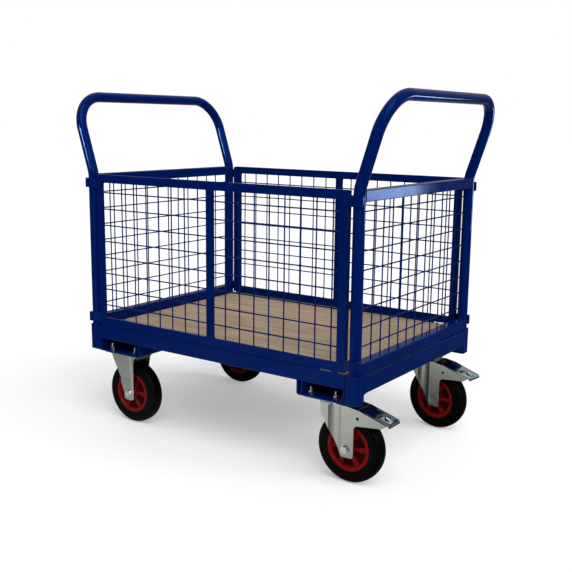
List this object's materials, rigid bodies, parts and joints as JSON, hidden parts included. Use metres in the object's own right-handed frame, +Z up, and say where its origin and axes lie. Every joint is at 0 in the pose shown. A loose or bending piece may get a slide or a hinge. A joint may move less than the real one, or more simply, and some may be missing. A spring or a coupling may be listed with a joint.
{
  "type": "mesh-sided platform trolley",
  "caption": "Platform trolley with a plywood deck, hook-on wire-mesh sides, plug-in mesh ends with leaning handle hoops, and fixed and braked swivel castors for moving loose goods.",
  "frame": {"origin": "on the floor, under the middle of the platform", "axes": "+X towards the end with the braked swivel castors, +Y towards the rear long side, +Z up"},
  "size_m": [1.146, 0.716, 1.055],
  "materials": {
    "blue_frame": "gloss blue powder coat on welded steel tube, sheet and wire",
    "castor_steel": "bright zinc plate on pressed steel",
    "fasteners": "zinc plate on machined steel",
    "hub": "moulded red polypropylene",
    "tyre": "moulded black rubber",
    "deck": "sanded plywood with a clear coat",
    "brake_pad": "moulded rubber block"
  },
  "bodies": {
    "chassis": {"castor_bolts": "fasteners", "castor_brackets": "blue_frame", "castor_nuts": "fasteners", "corner_posts": "blue_frame", "deck_board": "deck", "deck_cross_members": "blue_frame", "end_rail_left": "blue_frame", "end_rail_right": "blue_frame", "front_panel_frame": "blue_frame", "front_panel_hooks": "blue_frame", "front_panel_mesh": "blue_frame", "left_front_axle_bolt": "fasteners", "left_front_axle_tube": "fasteners", "left_front_fork": "castor_steel", "left_rear_axle_bolt": "fasteners", "left_rear_axle_tube": "fasteners", "left_rear_fork": "castor_steel", "rear_panel_frame": "blue_frame", "rear_panel_hooks": "blue_frame", "rear_panel_mesh": "blue_frame", "right_front_top_plate": "castor_steel", "right_rear_top_plate": "castor_steel", "side_rail_front": "blue_frame", "side_rail_rear": "blue_frame"},
    "left_end_frame": {"left_end_hoop": "blue_frame", "left_end_rails": "blue_frame", "left_end_mesh": "blue_frame"},
    "right_end_frame": {"right_end_hoop": "blue_frame", "right_end_rails": "blue_frame", "right_end_mesh": "blue_frame"},
    "left_front_wheel": {"left_front_hub": "hub", "left_front_tyre": "tyre", "left_front_bearing": "fasteners"},
    "left_rear_wheel": {"left_rear_hub": "hub", "left_rear_tyre": "tyre", "left_rear_bearing": "fasteners"},
    "right_front_wheel": {"right_front_hub": "hub", "right_front_tyre": "tyre", "right_front_bearing": "fasteners"},
    "right_rear_wheel": {"right_rear_hub": "hub", "right_rear_tyre": "tyre", "right_rear_bearing": "fasteners"},
    "right_front_swivel": {"right_front_fork": "castor_steel", "right_front_ball_race": "castor_steel", "right_front_kingpin": "fasteners", "right_front_axle_bolt": "fasteners", "right_front_axle_tube": "fasteners", "right_front_pivot_pins": "fasteners"},
    "right_front_brake": {"right_front_brake_pedal": "castor_steel", "right_front_brake_shoe": "brake_pad"},
    "right_rear_swivel": {"right_rear_fork": "castor_steel", "right_rear_ball_race": "castor_steel", "right_rear_kingpin": "fasteners", "right_rear_axle_bolt": "fasteners", "right_rear_axle_tube": "fasteners", "right_rear_pivot_pins": "fasteners"},
    "right_rear_brake": {"right_rear_brake_pedal": "castor_steel", "right_rear_brake_shoe": "brake_pad"}
  },
  "joints": [
    {"name": "left_end_lift", "type": "slide", "parent": "chassis", "child": "left_end_frame", "axis": [0, 0, 1], "range_m": [0, 0.075]},
    {"name": "right_end_lift", "type": "slide", "parent": "chassis", "child": "right_end_frame", "axis": [0, 0, 1], "range_m": [0, 0.075]},
    {"name": "right_front_swivel_turn", "type": "hinge", "parent": "chassis", "child": "right_front_swivel", "pos_m": [0.38, -0.275, 0.23], "axis": [0, 0, 1], "continuous": true},
    {"name": "right_rear_swivel_turn", "type": "hinge", "parent": "chassis", "child": "right_rear_swivel", "pos_m": [0.38, 0.275, 0.23], "axis": [0, 0, 1], "continuous": true},
    {"name": "left_front_wheel_spin", "type": "hinge", "parent": "chassis", "child": "left_front_wheel", "pos_m": [-0.3755, -0.275, 0.1], "axis": [0, 1, 0], "continuous": true},
    {"name": "left_rear_wheel_spin", "type": "hinge", "parent": "chassis", "child": "left_rear_wheel", "pos_m": [-0.3755, 0.275, 0.1], "axis": [0, 1, 0], "continuous": true},
    {"name": "right_front_wheel_spin", "type": "hinge", "parent": "right_front_swivel", "child": "right_front_wheel", "pos_m": [0.441, -0.275, 0.1], "axis": [0, 1, 0], "continuous": true},
    {"name": "right_rear_wheel_spin", "type": "hinge", "parent": "right_rear_swivel", "child": "right_rear_wheel", "pos_m": [0.44055, 0.26757, 0.1], "axis": [0.1219, 0.9925, 0], "continuous": true},
    {"name": "right_front_brake_press", "type": "hinge", "parent": "right_front_swivel", "child": "right_front_brake", "pos_m": [0.477, -0.275, 0.1943], "axis": [0, 1, 0], "range_deg": [0, 7]},
    {"name": "right_rear_brake_press", "type": "hinge", "parent": "right_rear_swivel", "child": "right_rear_brake", "pos_m": [0.47628, 0.26318, 0.1943], "axis": [0.1219, 0.9925, 0], "range_deg": [0, 7]}
  ]
}
